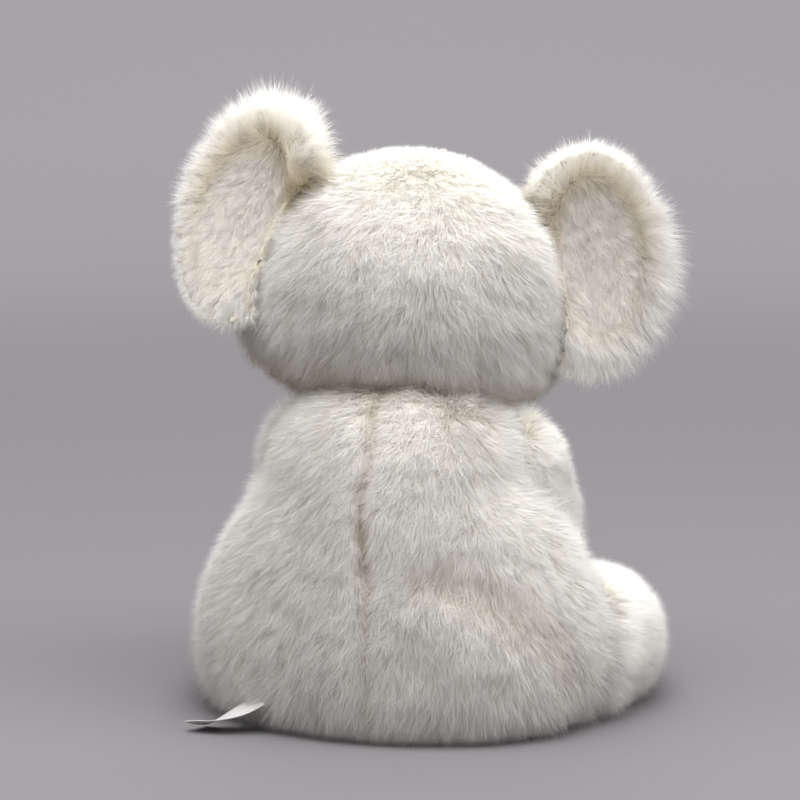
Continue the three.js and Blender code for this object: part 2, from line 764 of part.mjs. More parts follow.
// Care label: a bare ribbon out of the base seam, turning flat as it falls to the floor
function labelPiece() {
  const angle = radians(labelSeamAngle);
  const out = vector(Math.sin(angle), Math.cos(angle), 0);
  const along = vector(out.y, -out.x, 0);
  const slopeAtRoot = radians(labelTilt);
  const drop = (labelWidth / 2) * Math.sin(slopeAtRoot);
  const root = bodyEdge(out, baseSeamHeight)
    .addScaledVector(out, (labelWidth / 2) * Math.cos(slopeAtRoot) + seatGap);
  root.z -= drop;
  const tip = root.clone().addScaledVector(along, labelLength).addScaledVector(out, labelStandOff);
  tip.z = labelLift + labelThickness / 2;
  const middle = root.clone().add(tip).divideScalar(2).addScaledVector(out, labelStandOff);
  middle.z = THREE.MathUtils.lerp(tip.z, root.z, labelSagShare);
  const path = new THREE.CatmullRomCurve3([root, middle, tip]);
  const rings = Array.from({ length: labelSteps + 1 }, (_, i) => {
    const share = i / labelSteps;
    const slope = THREE.MathUtils.lerp(slopeAtRoot, 0, share);
    const across = out.clone().multiplyScalar(Math.cos(slope)).add(vector(0, 0, -Math.sin(slope)));
    const face = vector().crossVectors(across, path.getTangent(share)).normalize();
    return [[-1, -1], [1, -1], [1, 1], [-1, 1]].map(([a, b]) => path.getPoint(share)
      .addScaledVector(across, (a * labelWidth) / 2)
      .addScaledVector(face, (-b * labelThickness) / 2));
  });
  return loft(rings, path.getPoint(0), path.getPoint(1));
}

const label = named('care_label', labelPiece(), satin);
const neck = named('neck_filling', neckSolid(0), fibre);

const headGroup = new THREE.Group();
headGroup.applyMatrix4(headPlace);
headGroup.add(...headPieces());

const koala = new THREE.Group();
koala.add(...bodyPieces(), label, neck, headGroup);
for (const side of [1, -1]) {
  koala.add(...armPieces(side), ...legPieces(side));
}

export default koala;
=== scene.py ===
import math

import bmesh
import bpy
import numpy as np
from mathutils import Matrix, Vector
from mathutils.bvhtree import BVHTree


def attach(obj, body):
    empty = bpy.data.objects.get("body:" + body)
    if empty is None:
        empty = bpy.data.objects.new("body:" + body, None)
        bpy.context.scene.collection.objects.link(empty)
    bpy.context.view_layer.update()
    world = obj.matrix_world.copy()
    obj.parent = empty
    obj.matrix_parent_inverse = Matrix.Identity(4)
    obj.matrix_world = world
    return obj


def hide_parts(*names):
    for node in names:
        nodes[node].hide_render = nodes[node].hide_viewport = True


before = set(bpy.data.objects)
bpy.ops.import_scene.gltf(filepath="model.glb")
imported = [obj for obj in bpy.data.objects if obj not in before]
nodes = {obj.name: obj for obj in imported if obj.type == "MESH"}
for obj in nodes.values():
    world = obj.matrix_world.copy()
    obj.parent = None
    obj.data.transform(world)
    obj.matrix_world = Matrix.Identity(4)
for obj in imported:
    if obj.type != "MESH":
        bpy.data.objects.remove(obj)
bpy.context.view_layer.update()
mm = 0.001
sides = ("left", "right")

# Camera behind the toy, a little to its right
camera = {"azimuth": 198, "elevation": 8, "target": (0, 0, 0.127), "distance": 1.1, "lens": 123.75}


def towards(azimuth, elevation):
    turn, rise = math.radians(azimuth), math.radians(elevation)
    return Vector((math.sin(turn) * math.cos(rise), -math.cos(turn) * math.cos(rise), math.sin(rise)))


def aimed(name, data, place, way):
    made = bpy.data.objects.new(name, data)
    made.location = place
    made.rotation_mode = "QUATERNION"
    made.rotation_quaternion = way.to_track_quat("-Z", "Y")
    bpy.context.scene.collection.objects.link(made)
    return made


def placeCamera():
    data = bpy.data.cameras.new("studioCamera")
    data.sensor_width = 36
    data.lens = camera["lens"]
    away = towards(camera["azimuth"], camera["elevation"])
    place = Vector(camera["target"]) + away * camera["distance"]
    bpy.context.scene.camera = aimed("studioCamera", data, place, -away)


placeCamera()


# Meshes as rows of numbers
def addObject(name, mesh):
    piece = bpy.data.objects.new(name, mesh)
    bpy.context.scene.collection.objects.link(piece)
    return piece


def points(mesh, kind="co"):
    flat = np.empty(len(mesh.vertices) * 3)
    mesh.vertices.foreach_get(kind, flat)
    return flat.reshape(-1, 3)


def normals(mesh):
    return points(mesh, "normal")


def setPoints(mesh, places):
    mesh.vertices.foreach_set("co", places.astype(np.float32).ravel())
    mesh.update()


def storeValues(mesh, name, values):
    kind = "FLOAT_VECTOR" if values.ndim > 1 else "FLOAT"
    stored = mesh.attributes.get(name) or mesh.attributes.new(name, kind, "POINT")
    stored.data.foreach_set("vector" if values.ndim > 1 else "value", values.astype(np.float32).ravel())


def readValues(mesh, name):
    flat = np.empty(len(mesh.vertices))
    mesh.attributes[name].data.foreach_get("value", flat)
    return flat


def unit(rows):
    return rows / np.maximum(np.linalg.norm(rows, axis=-1, keepdims=True), 1e-9)


def smoothStep(low, high, value):
    share = np.clip((value - low) / (high - low), 0, 1)
    return share * share * (3 - 2 * share)


def bell(distance, width):
    return np.exp(-((distance / width) ** 2))


def evaluated(piece, name):
    bpy.context.view_layer.update()
    graph = bpy.context.evaluated_depsgraph_get()
    mesh = bpy.data.meshes.new_from_object(piece.evaluated_get(graph), depsgraph=graph)
    mesh.name = name
    return mesh


def treeOf(mesh):
    return BVHTree.FromPolygons([v.co for v in mesh.vertices], [p.vertices for p in mesh.polygons])


def distancesTo(tree, place):
    return np.array([tree.find_nearest(Vector(spot))[3] for spot in place])


# A soft form: copies of CAD solids, merged, remeshed and rounded
def roundedForm(name, members, voxel, rounds):
    joined = bmesh.new()
    for member in members:
        joined.from_mesh(nodes[member].data)
    bmesh.ops.remove_doubles(joined, verts=joined.verts, dist=1e-6)
    mesh = bpy.data.meshes.new(name)
    joined.to_mesh(mesh)
    joined.free()
    form = addObject(name, mesh)
    remesh = form.modifiers.new("remesh", "REMESH")
    remesh.mode = "VOXEL"
    remesh.voxel_size = voxel
    soften = form.modifiers.new("soften", "SMOOTH")
    soften.factor = 0.5
    soften.iterations = rounds
    made = evaluated(form, name)
    bpy.data.objects.remove(form)
    return largestPart(made)


def linkPairs(mesh):
    pairs = np.empty(len(mesh.edges) * 2, np.int64)
    mesh.edges.foreach_get("vertices", pairs)
    return pairs[0::2], pairs[1::2]


def largestPart(mesh):
    a, b = linkPairs(mesh)
    label = np.arange(len(mesh.vertices))
    while True:
        low = np.minimum(label[a], label[b])
        fresh = label.copy()
        np.minimum.at(fresh, a, low)
        np.minimum.at(fresh, b, low)
        fresh = fresh[fresh]
        if (fresh == label).all():
            break
        label = fresh
    counts = np.bincount(label)
    if (counts > 0).sum() > 1:
        parts = bmesh.new()
        parts.from_mesh(mesh)
        stray = [v for v, group in zip(parts.verts, label) if group != counts.argmax()]
        bmesh.ops.delete(parts, geom=stray, context="VERTS")
        parts.to_mesh(mesh)
        parts.free()
    mesh.update()
    return mesh


def smoothed(mesh, values, rounds):
    a, b = linkPairs(mesh)
    size = len(values)
    count = np.bincount(np.concatenate((a, b)), minlength=size).clip(1)
    for _ in range(rounds):
        total = np.bincount(a, values[b], size) + np.bincount(b, values[a], size)
        values = (values + total / count) / 2
    return values


def calmed(mesh, rows, rounds):
    return unit(np.stack([smoothed(mesh, rows[:, i], rounds) for i in range(3)], 1))


def tangent(way, out):
    return unit(way - (way * out).sum(1, keepdims=True) * out)


# Node trees
def treeTools(tree):
    def put(socket, value):
        if isinstance(value, bpy.types.NodeSocket):
            tree.links.new(value, socket)
        elif value is not None:
            socket.default_value = value

    def add(kind, inputs=(), out=0, **settings):
        made = tree.nodes.new(kind)
        for key, value in settings.items():
            setattr(made, key, value)
        pairs = inputs.items() if isinstance(inputs, dict) else enumerate(inputs)
        for key, value in pairs:
            put(made.inputs[key], value)
        return made.outputs[out]

    def number(operation, *values):
        return add("ShaderNodeMath", values, operation=operation)

    def vector(operation, *values):
        if operation == "SCALE":
            return add("ShaderNodeVectorMath", {0: values[0], 3: values[1]}, operation=operation)
        out = 1 if operation in ("DOT_PRODUCT", "LENGTH") else 0
        return add("ShaderNodeVectorMath", values, out, operation=operation)

    def blend(factor, first, second, kind="MIX"):
        return add("ShaderNodeMix", {0: factor, 6: first, 7: second}, 2, data_type="RGBA", blend_type=kind)

    return add, number, vector, blend


# One strand: a fine sliver, or a longer bent one of more steps
def strandBlade(steps):
    if steps == 1:
        verts = [(-1, 0), (1, 0), (0, 1)]
        faces = [(0, 1, 2)]
    else:
        verts, faces = [], []
        for i in range(steps):
            width = 1 - (i / steps) ** 2
            verts += [(-width, i / steps), (width, i / steps)]
        verts.append((0, 1))
        for i in range(steps - 1):
            faces.append((2 * i, 2 * i + 1, 2 * i + 3, 2 * i + 2))
        faces.append((2 * steps - 2, 2 * steps - 1, 2 * steps))
    mesh = bpy.data.meshes.new(f"strand{steps}")
    mesh.from_pydata([(x, y, 0) for x, y in verts], [], faces)
    storeValues(mesh, "across", np.array([x for x, _ in verts], float))
    storeValues(mesh, "along", np.array([y for _, y in verts], float))
    return addObject(f"strand{steps}", mesh)


# Fur: strands rise from the cloth, lie along its comb direction and gather in tufts
furInputs = [
    ("Density", "NodeSocketFloat", 3.0e6),
    ("Length", "NodeSocketFloat", 0.010),
    ("Width", "NodeSocketFloat", 0.00018),
    ("Uneven Length", "NodeSocketFloat", 0.5),
    ("Stray Angle", "NodeSocketFloat", 0.62),
    ("Swirl Size", "NodeSocketFloat", 0.022),
    ("Swirl Angle", "NodeSocketFloat", 0.6),
    ("Tuft Size", "NodeSocketFloat", 0.0017),
    ("Tuft Pull", "NodeSocketFloat", 0.65),
    ("Lock Size", "NodeSocketFloat", 0.010),
    ("Lock Pull", "NodeSocketFloat", 0.05),
    ("Sag", "NodeSocketFloat", 0.1),
    ("Floor", "NodeSocketFloat", 0.0003),
    ("Seed", "NodeSocketInt", 1),
    ("Strand", "NodeSocketObject", None),
    ("Finish", "NodeSocketMaterial", None),
]


def buildFurTree():
    tree = bpy.data.node_groups.new("furStrands", "GeometryNodeTree")
    tree.interface.new_socket("Geometry", in_out="INPUT", socket_type="NodeSocketGeometry")
    tree.interface.new_socket("Geometry", in_out="OUTPUT", socket_type="NodeSocketGeometry")
    for name, kind, value in furInputs:
        socket = tree.interface.new_socket(name, in_out="INPUT", socket_type=kind)
        if value is not None:
            socket.default_value = value
    add, number, vector, _ = treeTools(tree)
    given = tree.nodes.new("NodeGroupInput").outputs

    def named(name, kind="FLOAT"):
        return add("GeometryNodeInputNamedAttribute", [name], data_type=kind)

    def store(geometry, name, value, kind="FLOAT"):
        inputs = {"Geometry": geometry, "Name": name, "Value": value}
        return add("GeometryNodeStoreNamedAttribute", inputs, data_type=kind, domain="POINT")

    def chance(low, high, offset):
        inputs = {2: low, 3: high, 8: number("ADD", given["Seed"], offset)}
        return add("FunctionNodeRandomValue", inputs, 1, data_type="FLOAT")

    density = number("MULTIPLY", given["Density"], named("cover"))
    inputs = {"Mesh": given["Geometry"], "Density": density, "Seed": given["Seed"]}
    scatter = add("GeometryNodeDistributePointsOnFaces", inputs, distribute_method="RANDOM")
    place = add("GeometryNodeInputPosition")
    normal = vector("NORMALIZE", named("outward", "FLOAT_VECTOR"))
    flow = named("comb", "FLOAT_VECTOR")

    def noise(size, offset):
        scale = number("DIVIDE", 1.0, size)
        inputs = {"Vector": vector("ADD", place, offset), "Scale": scale, "Detail": 1.0}
        return number("SUBTRACT", add("ShaderNodeTexNoise", inputs), 0.5)

    def turned(direction, angle):
        inputs = {"Vector": direction, "Axis": normal, "Angle": angle}
        return add("ShaderNodeVectorRotate", inputs, rotation_type="AXIS_ANGLE")

    fine = noise(number("MULTIPLY", given["Swirl Size"], 0.3), (1.7, 5.2, 2.9))
    swirl = number("ADD", noise(given["Swirl Size"], (3.1, 2.2, 4.1)), number("MULTIPLY", fine, 0.7))
    swirled = turned(flow, number("MULTIPLY", swirl, number("MULTIPLY", given["Swirl Angle"], 4.0)))

    def gathered(size, offset):  # the way to the middle of a strand's cell, and the cell's tone
        cell = tree.nodes.new("ShaderNodeTexVoronoi")
        moved = vector("ADD", place, offset)
        tree.links.new(moved, cell.inputs["Vector"])
        tree.links.new(number("DIVIDE", 1.0, size), cell.inputs["Scale"])
        middle = vector("SUBTRACT", cell.outputs["Position"], moved)
        flat = vector("SUBTRACT", middle, vector("SCALE", normal, vector("DOT_PRODUCT", middle, normal)))
        return flat, add("ShaderNodeSeparateXYZ", [cell.outputs["Color"]])

    toTuft, tuftTone = gathered(given["Tuft Size"], (0.37, 0.41, 0.29))
    toLock, lockTone = gathered(given["Lock Size"], (0.73, 0.19, 0.57))
    spread = number("MULTIPLY", given["Stray Angle"], 1.8)
    lean = number("MULTIPLY", number("SUBTRACT", tuftTone, 0.5), spread)
    apart = number("MULTIPLY", given["Stray Angle"], chance(-1.0, 1.0, 11))
    stray = turned(turned(swirled, lean), apart)

    rise = number("ADD", named("lift"), number("MULTIPLY", given["Stray Angle"], chance(-0.5, 0.7, 23)))
    rise = number("ADD", rise, number("MULTIPLY", number("SUBTRACT", lockTone, 0.5), 0.05))
    uneven = number("ADD", 1.0, number("MULTIPLY", given["Uneven Length"], chance(-1.0, 0.6, 31)))
    uneven = number("MULTIPLY", uneven, number("ADD", 0.88, number("MULTIPLY", tuftTone, 0.24)))
    reach = number("MULTIPLY", number("MULTIPLY", given["Length"], named("pile")), uneven)
    toTuft = vector("SCALE", toTuft, given["Tuft Pull"])
    toLock = vector("SCALE", toLock, given["Lock Pull"])
    pull = vector("ADD", toTuft, toLock)

    strands = scatter
    for name, value in (("root", place), ("flow", stray), ("up", normal), ("gather", pull)):
        strands = store(strands, name, value, "FLOAT_VECTOR")
    own = number("MULTIPLY", chance(0.0, 1.0, 47), 0.4)
    tone = number("ADD", number("MULTIPLY", tuftTone, 0.6), own)
    twist = chance(-0.6, 0.6, 53)
    for name, value in (("reach", reach), ("rise", rise), ("chance", tone), ("twist", twist)):
        strands = store(strands, name, value)
    strand = add("GeometryNodeObjectInfo", {"Object": given["Strand"]}, 4, transform_space="ORIGINAL")
    copies = add("GeometryNodeInstanceOnPoints", {"Points": strands, "Instance": strand})
    grown = add("GeometryNodeRealizeInstances", {"Geometry": copies})

    along, across = named("along"), named("across")
    root, up = named("root", "FLOAT_VECTOR"), named("up", "FLOAT_VECTOR")
    ahead, length, climb = named("flow", "FLOAT_VECTOR"), named("reach"), named("rise")
    squared = number("MULTIPLY", along, along)
    forward = number("MULTIPLY", length, number("MULTIPLY", along, number("COSINE", climb)))
    height = number("SUBTRACT", number("MULTIPLY", along, 1.5), number("MULTIPLY", squared, 0.55))
    height = number("MULTIPLY", number("MULTIPLY", length, number("SINE", climb)), height)
    line = vector("ADD", root, vector("ADD", vector("SCALE", ahead, forward), vector("SCALE", up, height)))
    together = vector("SCALE", named("gather", "FLOAT_VECTOR"), number("POWER", along, 1.4))
    line = vector("ADD", line, together)
    drop = number("MULTIPLY", number("MULTIPLY", given["Sag"], length), squared)
    line = vector("SUBTRACT", line, vector("SCALE", (0, 0, 1), drop))
    sideways = vector("NORMALIZE", vector("CROSS_PRODUCT", ahead, up))
    flank = vector("ADD", vector("SCALE", sideways, number("COSINE", named("twist"))),
                   vector("SCALE", up, number("SINE", named("twist"))))
    half = number("MULTIPLY", number("MULTIPLY", given["Width"], 0.5), across)
    line = vector("ADD", line, vector("SCALE", flank, half))
    split = tree.nodes.new("ShaderNodeSeparateXYZ")
    tree.links.new(line, split.inputs[0])
    level = number("MAXIMUM", split.outputs[2], given["Floor"])
    final = add("ShaderNodeCombineXYZ", [split.outputs[0], split.outputs[1], level])
    shaped = add("GeometryNodeSetPosition", {"Geometry": grown, "Position": final})
    coated = add("GeometryNodeSetMaterial", {"Geometry": shaped, "Material": given["Finish"]})
    end = tree.nodes.new("NodeGroupOutput")
    tree.links.new(coated, end.inputs[0])
    return tree


furTree = buildFurTree()
softShading = 0.68  # how far a strand is shaded as the cloth under it
swatches = 16  # cells each way on a strand's map, by tint and by chance


def growFur(name, skin, settings):
    emitter = addObject(name + "Emitter", skin)
    modifier = emitter.modifiers.new("fur", "NODES")
    modifier.node_group = furTree
    for item in furTree.interface.items_tree:
        if item.in_out == "INPUT" and item.name in settings:
            modifier[item.identifier] = settings[item.name]
    mesh = evaluated(emitter, name)
    bpy.data.objects.remove(emitter)
    layStrandMap(mesh)
    away = np.empty(len(mesh.vertices) * 3)
    mesh.attributes["up"].data.foreach_get("vector", away)
    leaning = unit(points(mesh, "normal") * (1 - softShading) + away.reshape(-1, 3) * softShading)
    kept = {"along", "chance", "tint", "OFBake", "sharp_face"}
    for attribute in [a.name for a in mesh.attributes if not a.is_internal and not a.is_required]:
        if attribute not in kept:
            mesh.attributes.remove(mesh.attributes[attribute])
    mesh.materials.clear()
    mesh.materials.append(settings["Finish"])
    mesh.shade_smooth()
    mesh.normals_split_custom_set_from_vertices(leaning.astype(np.float32))
    return mesh


def layStrandMap(mesh):
    corner = np.empty(len(mesh.loops), np.int64)
    mesh.loops.foreach_get("vertex_index", corner)
    along, across = readValues(mesh, "along")[corner], readValues(mesh, "across")[corner]
    column = np.floor(readValues(mesh, "chance").clip(0, 0.999) * swatches)[corner]
    row = np.floor(readValues(mesh, "tint").clip(0, 0.999) * swatches)[corner]
    u = (column + 0.5 + across * 0.36) / swatches
    v = (row + 0.12 + along * 0.76) / swatches
    layer = mesh.uv_layers.new(name="OFBake")
    layer.data.foreach_set("uv", np.stack((u, v), 1).astype(np.float32).ravel())


def newFinish(name):
    material = bpy.data.materials.new(name)
    material.use_nodes = True
    tree = material.node_tree
    return material, tree, tree.nodes["Principled BSDF"], treeTools(tree)


# Fur finish: darker and warmer at the root as painted shade deep in the pile, cream to white at the tip, no
# two strands alike
furLook = {
    "root": (0.86, 0.79, 0.63, 1), "tip": (0.97, 0.958, 0.925, 1), "tan": (0.70, 0.59, 0.40, 1),
    "fade": 2.6,  # a strand reaches its tip colour at 1 / fade of its length
    "darkest": 0.75, "variation": 0.31, "rough": 0.55, "gloss": 0.3, "through": 0.48,
}


def furFinish(name):
    material, tree, shader, (add, number, _, blend) = newFinish(name)

    def attribute(key):
        return add("ShaderNodeAttribute", (), 2, attribute_name=key)

    # the tip turns towards tan where the skins' tint is set: painted shade in the creases, hollows, ear
    # recesses and under the head, and a tan line along the seam and on the soles
    tip = blend(attribute("tint"), furLook["tip"], furLook["tan"])
    # painted shade: each strand starts in the darker, warmer root colour and fades to its tip colour
    fade = number("MINIMUM", number("MULTIPLY", attribute("along"), furLook["fade"]), 1.0)
    strand = blend(fade, furLook["root"], tip)
    varied = number("MULTIPLY", attribute("chance"), furLook["variation"])
    shade = number("ADD", furLook["darkest"], varied)
    grey = add("ShaderNodeCombineColor", [shade, shade, shade])
    toned = blend(1.0, strand, grey, "MULTIPLY")
    tree.links.new(toned, shader.inputs["Base Color"])
    shader.inputs["Roughness"].default_value = furLook["rough"]
    shader.inputs["Specular IOR Level"].default_value = furLook["gloss"]
    through = tree.nodes.new("ShaderNodeBsdfTranslucent")
    tree.links.new(toned, through.inputs["Color"])
    mixed = tree.nodes.new("ShaderNodeMixShader")
    mixed.inputs[0].default_value = furLook["through"]
    tree.links.new(shader.outputs[0], mixed.inputs[1])
    tree.links.new(through.outputs[0], mixed.inputs[2])
    tree.links.new(mixed.outputs[0], tree.nodes["Material Output"].inputs["Surface"])
    return material


def clothFinish(name, colour, dark, weave, rough=0.9, strength=0.4):
    material, tree, shader, (add, _, _, blend) = newFinish(name)
    place = add("ShaderNodeTexCoord", (), 3)
    knit = add("ShaderNodeTexNoise", {"Vector": place, "Scale": weave, "Detail": 4.0})
    tree.links.new(blend(knit, dark, colour), shader.inputs["Base Color"])
    shader.inputs["Roughness"].default_value = rough
    bump = add("ShaderNodeBump", {"Strength": strength, "Distance": 0.0004, "Height": knit})
    tree.links.new(bump, shader.inputs["Normal"])
    return material


def mouldedFinish(name, colour, dark, grain, rough, depth, coat=0.0):
    material = clothFinish(name, colour, dark, grain, rough, depth)
    shader = material.node_tree.nodes["Principled BSDF"]
    shader.inputs["Coat Weight"].default_value = coat
    shader.inputs["Coat Roughness"].default_value = 0.05
    return material


def ribbonFinish(name):  # satin: floats run along the ribbon, with a firmer selvage at both edges
    material, tree, shader, (add, number, _, blend) = newFinish(name)
    around = add("ShaderNodeUVMap", (), uv_map="OFBake")
    split = tree.nodes.new("ShaderNodeSeparateXYZ")
    tree.links.new(around, split.inputs[0])
    floats = number("SINE", number("MULTIPLY", split.outputs[0], 260.0))
    picks = number("SINE", number("MULTIPLY", split.outputs[1], 700.0))
    edge = number("GREATER_THAN", number("ABSOLUTE", number("SUBTRACT", split.outputs[0], 0.5)), 0.42)
    weave = number("ADD", floats, number("MULTIPLY", picks, number("ADD", 0.3, edge)))
    woven = blend(edge, (0.50, 0.49, 0.485, 1), (0.42, 0.41, 0.40, 1))
    tree.links.new(woven, shader.inputs["Base Color"])
    tree.links.new(number("ADD", 0.32, number("MULTIPLY", edge, 0.2)), shader.inputs["Roughness"])
    relief = add("ShaderNodeBump", {"Strength": 0.25, "Distance": 0.0001, "Height": weave})
    tree.links.new(relief, shader.inputs["Normal"])
    shader.inputs["Sheen Weight"].default_value = 0.3
    return material


def threadFinish(name):  # the plies of the thread wind round it
    material, tree, shader, (add, _, _, blend) = newFinish(name)
    place = add("ShaderNodeTexCoord", (), 3)
    inputs = {"Vector": place, "Scale": 420.0, "Distortion": 1.5}
    ply = add("ShaderNodeTexWave", inputs, 1, bands_direction="DIAGONAL")
    dyed = blend(ply, (0.05, 0.03, 0.025, 1), (0.14, 0.09, 0.07, 1))
    tree.links.new(dyed, shader.inputs["Base Color"])
    shader.inputs["Roughness"].default_value = 0.6
    relief = add("ShaderNodeBump", {"Strength": 0.5, "Distance": 0.0002, "Height": ply})
    tree.links.new(relief, shader.inputs["Normal"])
    return material


def eyeFinish(name, middle):  # dark brown iris round a black pupil, under clear gloss
    material, tree, shader, (add, number, vector, blend) = newFinish(name)
    place = add("ShaderNodeTexCoord", (), 3)
    away = vector("LENGTH", vector("SUBTRACT", place, middle))
    flecks = add("ShaderNodeTexNoise", {"Vector": place, "Scale": 900.0, "Detail": 3.0})
    ring = add("ShaderNodeMapRange", {0: away, 1: 0.0030, 2: 0.0034})
    iris = blend(flecks, (0.055, 0.026, 0.012, 1), (0.10, 0.05, 0.022, 1))
    tree.links.new(blend(ring, (0.006, 0.005, 0.005, 1), iris), shader.inputs["Base Color"])
    tree.links.new(number("ADD", 0.05, number("MULTIPLY", flecks, 0.05)), shader.inputs["Roughness"])
    shader.inputs["Coat Weight"].default_value = 1.0
    return material


creamFur = furFinish("creamFur")
# the backing cloth, coloured dark tan as painted shade where it shows in the gaps of the pile
groundCloth = clothFinish("groundCloth", (0.52, 0.47, 0.38, 1), (0.42, 0.37, 0.29, 1), 700)
loftyFibre = clothFinish("loftyFibre", (0.93, 0.93, 0.91, 1), (0.80, 0.80, 0.78, 1), 260)
pelletCloth = clothFinish("pelletCloth", (0.80, 0.78, 0.72, 1), (0.68, 0.66, 0.60, 1), 900)
noseDark, noseLight = (0.025, 0.018, 0.016, 1), (0.045, 0.032, 0.027, 1)
nosePlastic = mouldedFinish("nosePlastic", noseLight, noseDark, 1500, 0.38, 0.35, 0.3)
washerDark, washerLight = (0.80, 0.80, 0.78, 1), (0.86, 0.86, 0.84, 1)
washerPlastic = mouldedFinish("washerPlastic", washerLight, washerDark, 600, 0.45, 0.15)
darkThread = threadFinish("darkThread")
satinRibbon = ribbonFinish("satinRibbon")

print("forms")
limbs = [f"{limb}_{side}" for limb in ("arm", "leg") for side in sides]
panels = {
    "body": ["back_panel_left", "back_panel_right", "belly_panel", "base_panel"],
    "head": ["head_back_left", "head_back_right", "face_panel", "muzzle_panel"],
}
panels.update({f"ear_{side}": [f"ear_{side}_back", f"ear_{side}_front"] for side in sides})
panels.update({limb: [f"{limb}_upper", f"{limb}_lower"] for limb in limbs})
for side in sides:
    panels[f"leg_{side}"].append(f"leg_{side}_sole")
cores = {"body": ["body_filling"], "head": ["head_filling"]}
cores.update({limb: [f"{limb}_filling"] for limb in limbs})
skinShapes = {  # voxel, rounds of smoothing, and depth of the skin under the brushed-down pile
    "body": (0.0020, 14, 1.6 * mm), "head": (0.0020, 14, 1.2 * mm), "ear": (0.0018, 8, 2.4 * mm),
    "arm": (0.0018, 8, 1.4 * mm), "leg": (0.0018, 8, 1.4 * mm),
}
skinSteps = 4  # the skin sinks to its depth in this many steps
skins = {}
for body, members in panels.items():
    voxel, rounds, depth = skinShapes[body.split("_")[0]]
    skin = roundedForm(body + "Skin", members + cores.get(body, []), voxel, rounds)
    for _ in range(skinSteps):
        setPoints(skin, points(skin) - normals(skin) * (depth / skinSteps))
        if body.startswith("ear"):
            setPoints(skin, np.stack([smoothed(skin, column, 1) for column in points(skin).T], 1))
    skins[body] = skin
print({body: len(skin.vertices) for body, skin in skins.items()})


# Hollows that the seams and the filling leave: middle in mm, reach in mm, depth in mm
hollows = {
    "body": [
        ((-3.9, 55, 67), (5.5, 14, 11), 2.6),
        ((-32, 49, 69), (16, 16, 9), 2.6),
        ((-48, 44, 60), (15, 16, 10), 2.8),
        ((-60, 36, 50), (11, 16, 10), 2.2),
        ((-24, 52, 38), (10, 14, 12), 1.6),
        ((-70, 28, 42), (9, 14, 10), 2.2),
        ((-75, 21, 26), (7, 14, 11), 2.2),
    ],
    "head": [
        ((-22.5, 36, 167), (4.5, 10, 9), 1.8),
        ((-14.3, 32, 147), (5.5, 10, 10), 2.0),
    ],
}
backSeam = {  # its line as height and side, its depth and its width, all in mm
    "line": [(7, -5.6), (38, -5.8), (68, -3.9), (88, -1.9), (103, -3.5), (118, -4.6), (131, -2.5)],
    "depth": 1.8, "width": 2.6, "low": 0.35,  # how much of it shows near the seat
}


def seamOffset(place):  # distance from the back seam, in metres, on the back only
    heights, middles = zip(*backSeam["line"])
    middle = np.interp(place[:, 2] / mm, heights, middles) * mm
    return np.where(place[:, 1] > 0, place[:, 0] - middle, 1.0)


def sinkDepth(body, place):
    depth = np.zeros(len(place))
    for middle, reach, deep in hollows.get(body, []):
        away = (place / mm - np.array(middle)) / np.array(reach)
        depth += deep * mm * np.exp(-(away**2).sum(1))
    if body == "body":
        low = backSeam["low"]
        shown = low + (1 - low) * smoothStep(0.040, 0.075, place[:, 2])
        depth += backSeam["depth"] * mm * bell(seamOffset(place), backSeam["width"] * mm) * shown
    return depth


for body in hollows:
    skin = skins[body]
    setPoints(skin, points(skin) - normals(skin) * sinkDepth(body, points(skin))[:, None])


skinTrees = {body: treeOf(skin) for body, skin in skins.items()}


def heldInside(mesh, tree, depth):  # keeps a panel or a wad under the skin that the pile stands on
    place = points(mesh)
    for i, spot in enumerate(place):
        near, out, _, _ = tree.find_nearest(Vector(spot))
        if (Vector(spot) - near).dot(out) > -depth:
            across = tree.ray_cast(near - out * (0.05 * mm), -out)[3]
            place[i] = near - out * (depth if across is None else min(depth, 0.45 * across))
    place[:, 2] = np.maximum(place[:, 2], 0.2 * mm)
    setPoints(mesh, place)


# How much of the pile each point keeps where another body presses on it
def openness(body, reach):
    place, out = points(skins[body]), normals(skins[body])
    free = np.ones(len(place))
    others = [tree for key, tree in skinTrees.items() if key != body]
    for i, (spot, way) in enumerate(zip(place, out)):
        start = Vector(spot) + Vector(way) * (0.3 * mm)
        if any(tree.ray_cast(start, Vector(way), reach)[0] is not None for tree in others):
            free[i] = 0
    if not body.startswith("leg"):  # a lifted leg shows its underside
        free[(place[:, 2] < 3.5 * mm) & (out[:, 2] < -0.6)] = 0
    return free


headPlace = (Matrix.Translation((-0.002, -0.012, 0.181)) @ Matrix.Rotation(math.radians(24), 4, "Z")
             @ Matrix.Rotation(math.radians(-7.8), 4, "Y"))
headInverse = np.array(headPlace.inverted())


def inHead(place):
    return place @ headInverse[:3, :3].T + headInverse[:3, 3]


def fromHead(way):
    return way @ headInverse[:3, :3]


# Each skin's pile: comb, length share, lift, tint and cover
def dress(body, comb, pile, lift, tint):
    skin = skins[body]
    out = normals(skin)
    soft = calmed(skin, out, 40 if body.startswith("ear") else 26)
    free = openness(body, (0.6 if body.startswith("ear") else 0.9) * mm)
    near = smoothed(skin, 1 - free, 10)
    cover = smoothed(skin, free, 1)
    whorl = smoothStep(0.8, 1.0, np.abs((unit(comb) * soft).sum(1)))
    lift = np.broadcast_to(lift, len(out)) + 0.35 * near * (free > 0.5) + 0.5 * whorl
    return {
        "outward": soft,
        "comb": tangent(comb, soft),
        "pile": np.broadcast_to(pile, len(out)).astype(float),
        "lift": lift,
        "tint": np.broadcast_to(tint, len(out)).astype(float),
        "cover": cover * np.clip(0.9 / np.maximum(pile, 0.2), 1, 2),
    }


coats = {}


def leadTo(tree, place):  # the way and the distance to another skin
    found = [tree.find_nearest(Vector(spot)) for spot in place]
    way = np.array([hit[0] for hit in found]) - place
    return unit(way), np.array([hit[3] for hit in found])


